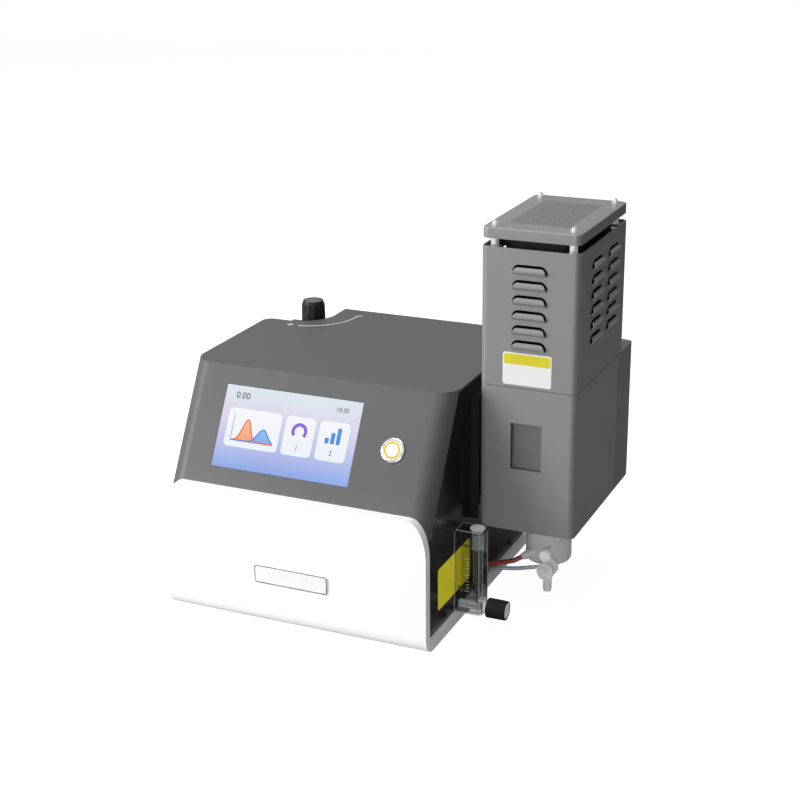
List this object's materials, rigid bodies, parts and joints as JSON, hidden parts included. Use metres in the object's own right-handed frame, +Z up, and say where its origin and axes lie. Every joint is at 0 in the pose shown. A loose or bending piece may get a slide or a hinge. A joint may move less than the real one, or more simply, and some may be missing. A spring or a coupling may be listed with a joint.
{
  "type": "flame photometer",
  "caption": "Bench flame photometer: sloped console with touch screen and start button, side-mounted burner chimney with louvers, mixing chamber, flow meter and two hoses.",
  "frame": {"origin": "middle of the bounding box in plan, on the surface that the rubber feet stand on", "axes": "+X to the right of the console, where the chimney hangs, +Y from the front panel to the back, +Z up"},
  "size_m": [0.4098, 0.3166, 0.4208],
  "materials": {
    "white_coat": "satin",
    "dark_coat": "satin",
    "black_coat": "satin",
    "plate_metal": "brushed",
    "bare_aluminium": "satin",
    "screw_steel": "polished",
    "collar_chrome": "polished",
    "foot_rubber": "matte",
    "screen_glass": "gloss",
    "circuit_board": "matte",
    "button_lens": "gloss",
    "valve_brass": "satin",
    "black_plastic": "satin",
    "gloss_black": "gloss",
    "clear_glass": "gloss",
    "filter_glass": "gloss",
    "smoked_glass": "gloss",
    "yellow_film": "satin",
    "pale_film": "satin",
    "ceramic_white": "matte",
    "grey_plastic": "satin",
    "pale_plastic": "satin",
    "white_plastic": "gloss",
    "red_hose": "gloss",
    "clear_hose": "gloss",
    "clear_acrylic": "gloss"
  },
  "bodies": {
    "case": {"front_shell": "white_coat", "nameplate": "plate_metal", "top_cover": "dark_coat", "side_panel_right": "black_coat", "side_panel_left": "black_coat", "rear_panel": "black_coat", "base_angles": "bare_aluminium", "feet": "foot_rubber", "case_screws": "screw_steel", "touch_screen": "screen_glass", "display_board": "circuit_board", "button_collar": "collar_chrome", "button_spring": "screw_steel", "button_nut": "screw_steel", "gas_valve": "valve_brass", "gas_valve_nut": "screw_steel", "main_board": "circuit_board", "board_pillars": "screw_steel", "power_supply": "bare_aluminium", "iec_inlet": "black_plastic", "gas_inlet": "valve_brass", "air_inlet": "screw_steel", "optics_block": "bare_aluminium", "optics_lens": "clear_glass", "colour_filters": "filter_glass", "detector_board": "circuit_board", "light_box": "black_coat", "optical_duct": "black_coat", "side_label": "yellow_film", "burner_housing": "dark_coat", "housing_rear": "dark_coat", "housing_floor": "dark_coat", "window_glass": "smoked_glass", "window_clamp": "screw_steel", "heat_shield": "dark_coat", "shield_label": "pale_film", "shield_brackets": "screw_steel", "cap_studs": "screw_steel", "cap_plate": "dark_coat", "cap_nuts": "screw_steel", "burner_head": "valve_brass", "igniter": "ceramic_white", "mixing_chamber": "grey_plastic", "chamber_collar": "pale_plastic", "nebuliser": "pale_plastic", "nebuliser_cap": "white_plastic", "drain_elbow": "grey_plastic", "gas_hose": "red_hose", "air_hose": "clear_hose", "hose_fittings": "screw_steel", "flow_block": "clear_acrylic", "flow_plug": "bare_aluminium", "valve_ferrule": "white_plastic"},
    "gas_control": {"gas_knob": "black_plastic", "gas_stem": "screw_steel"},
    "flow_control": {"valve_knob": "black_plastic", "valve_needle": "screw_steel"},
    "start_button": {"ignition_button": "button_lens"},
    "mains_rocker": {"power_rocker": "gloss_black"},
    "float_body": {"flow_float": "black_plastic"}
  },
  "joints": [
    {"name": "gas_knob_turn", "type": "hinge", "parent": "case", "child": "gas_control", "pos_m": [-0.16565, 0.11625, 0.244], "axis": [0, 0, 1], "range_deg": [0, 270]},
    {"name": "flow_knob_turn", "type": "hinge", "parent": "case", "child": "flow_control", "pos_m": [0.12515, -0.06205, 0.0208], "axis": [1, 0, 0], "range_deg": [0, 990]},
    {"name": "start_press", "type": "slide", "parent": "case", "child": "start_button", "axis": [0, 0.869, -0.4948], "range_m": [0, 0.003], "stiffness_N_per_m": 200, "springref_m": -0.004},
    {"name": "mains_rock", "type": "hinge", "parent": "case", "child": "mains_rocker", "pos_m": [0.03485, 0.13705, 0.0715], "axis": [1, 0, 0], "range_deg": [0, 18]},
    {"name": "float_rise", "type": "slide", "parent": "case", "child": "float_body", "axis": [0, 0, 1], "range_m": [0, 0.039]}
  ]
}
